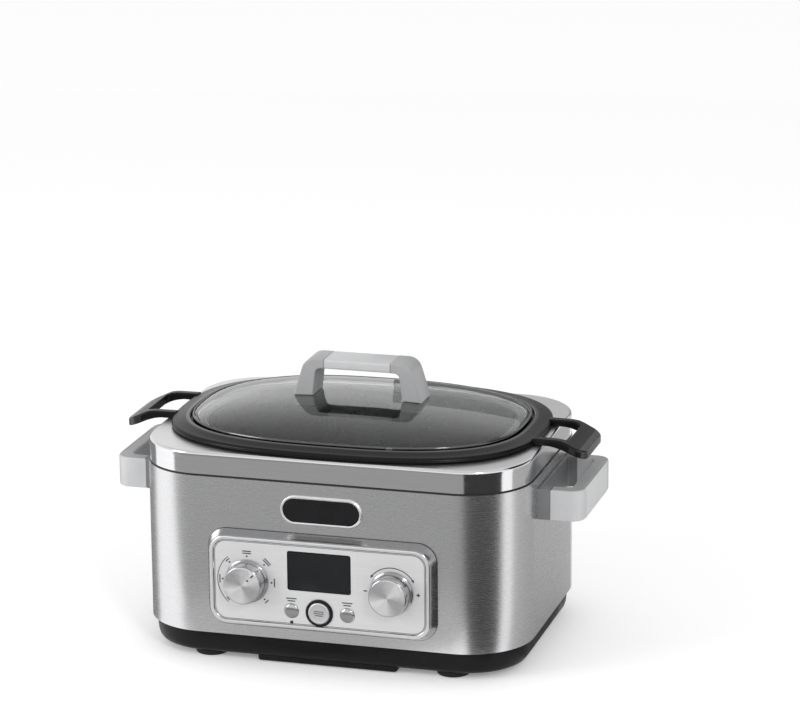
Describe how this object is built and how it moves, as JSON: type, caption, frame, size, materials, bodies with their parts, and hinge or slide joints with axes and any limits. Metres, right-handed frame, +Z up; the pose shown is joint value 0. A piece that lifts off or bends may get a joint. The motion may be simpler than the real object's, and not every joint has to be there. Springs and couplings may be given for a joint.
{
  "type": "slow cooker",
  "caption": "Oval slow cooker: brushed steel base with control panel and loop handles, black cast pot with handles, wire rack and domed glass lid.",
  "frame": {"origin": "on the worktop, under the middle of the whole outline with the lid on", "axes": "+X to the user's right, +Y away from the user to the back, +Z up; the control panel faces -Y"},
  "size_m": [0.492, 0.323, 0.2868],
  "materials": {
    "housing_steel": "brushed",
    "cover_steel": "brushed, bright",
    "trim_steel": "polished, dark",
    "well_steel": "satin",
    "bezel_metal": "polished",
    "fascia_metal": "satin, bright",
    "dial_metal": "spun",
    "dial_skirt_metal": "polished",
    "button_metal": "satin",
    "button_ring_plastic": "gloss",
    "lens_plastic": "gloss",
    "window_plastic": "gloss, dark",
    "badge_enamel": "gloss",
    "tray_plastic": "matte",
    "foot_rubber": "matte",
    "gasket_rubber": "matte",
    "handle_bracket_plastic": "matte",
    "handle_grey_plastic": "satin",
    "handle_light_plastic": "satin",
    "screw_steel": "plain",
    "pot_coating": "black non-stick, satin",
    "rack_steel": "bright wire",
    "lid_glass_clear": "clear",
    "lid_band_steel": "polished",
    "clamp_metal": "plain",
    "heater_alloy": "cast",
    "band_metal": "plain",
    "blanket_fibre": "fibrous",
    "shield_steel": "plain",
    "electronics": "plain"
  },
  "bodies": {
    "base": {"base_tray": "tray_plastic", "foot_front_left": "foot_rubber", "foot_front_right": "foot_rubber", "foot_back_left": "foot_rubber", "foot_back_right": "foot_rubber", "tray_screws": "screw_steel", "outer_housing": "housing_steel", "cover_gasket": "gasket_rubber", "top_cover": "cover_steel", "well_trim": "trim_steel", "heating_well": "well_steel", "heater_plate": "heater_alloy", "wall_heater_band": "band_metal", "insulation_blanket": "blanket_fibre", "heat_shield": "shield_steel", "temperature_sensor": "electronics", "thermal_cutout": "electronics", "power_board": "electronics", "control_board": "electronics", "tact_switches": "electronics", "display_module": "electronics", "display_window": "window_plastic", "panel_bezel": "bezel_metal", "panel_fascia": "fascia_metal", "start_button_ring": "button_ring_plastic", "indicator_lens": "lens_plastic", "selector_switch": "electronics", "adjust_encoder": "electronics", "badge_plate": "badge_enamel", "cord_gland": "tray_plastic", "left_handle_bracket": "handle_bracket_plastic", "left_handle_grip": "handle_grey_plastic", "left_handle_inlay": "handle_light_plastic", "right_handle_bracket": "handle_bracket_plastic", "right_handle_grip": "handle_grey_plastic", "right_handle_inlay": "handle_light_plastic", "handle_screws": "screw_steel"},
    "selector_dial": {"selector_cap": "dial_metal", "selector_skirt": "dial_skirt_metal", "selector_shaft": "screw_steel"},
    "adjust_dial": {"adjust_cap": "dial_metal", "adjust_skirt": "dial_skirt_metal", "adjust_shaft": "screw_steel"},
    "keep_warm_key": {"keep_warm_button": "button_metal"},
    "start_key": {"start_button": "button_metal"},
    "set_key": {"set_button": "button_metal"},
    "pot": {"cooking_pot": "pot_coating"},
    "rack": {"rack_basket": "rack_steel", "rack_rim_wire": "rack_steel", "rack_leg_front": "rack_steel", "rack_leg_back": "rack_steel"},
    "lid": {"lid_glass": "lid_glass_clear", "lid_rim_band": "lid_band_steel", "lid_left_post": "handle_grey_plastic", "lid_right_post": "handle_grey_plastic", "lid_handle_bar": "handle_light_plastic", "lid_clamps": "clamp_metal", "lid_screws": "screw_steel"}
  },
  "joints": [
    {"name": "pot_lift", "type": "slide", "parent": "base", "child": "pot", "axis": [0, 0, 1], "range_m": [0, 0.18]},
    {"name": "rack_lift", "type": "slide", "parent": "pot", "child": "rack", "axis": [0, 0, 1], "range_m": [0, 0.16]},
    {"name": "lid_lift", "type": "slide", "parent": "rack", "child": "lid", "axis": [0, 0, 1], "range_m": [0, 0.015]},
    {"name": "selector_turn", "type": "hinge", "parent": "base", "child": "selector_dial", "pos_m": [-0.075, -0.1535, 0.092], "axis": [0, 1, 0], "range_deg": [-180, 90]},
    {"name": "adjust_turn", "type": "hinge", "parent": "base", "child": "adjust_dial", "pos_m": [0.075, -0.1535, 0.092], "axis": [0, 1, 0], "continuous": true},
    {"name": "keep_warm_press", "type": "slide", "parent": "base", "child": "keep_warm_key", "axis": [0, -1, 0], "range_m": [-0.001, 0], "stiffness_N_per_m": 400, "springref_m": 0.0008},
    {"name": "start_press", "type": "slide", "parent": "base", "child": "start_key", "axis": [0, -1, 0], "range_m": [-0.001, 0], "stiffness_N_per_m": 400, "springref_m": 0.0008},
    {"name": "set_press", "type": "slide", "parent": "base", "child": "set_key", "axis": [0, -1, 0], "range_m": [-0.001, 0], "stiffness_N_per_m": 400, "springref_m": 0.0008}
  ]
}
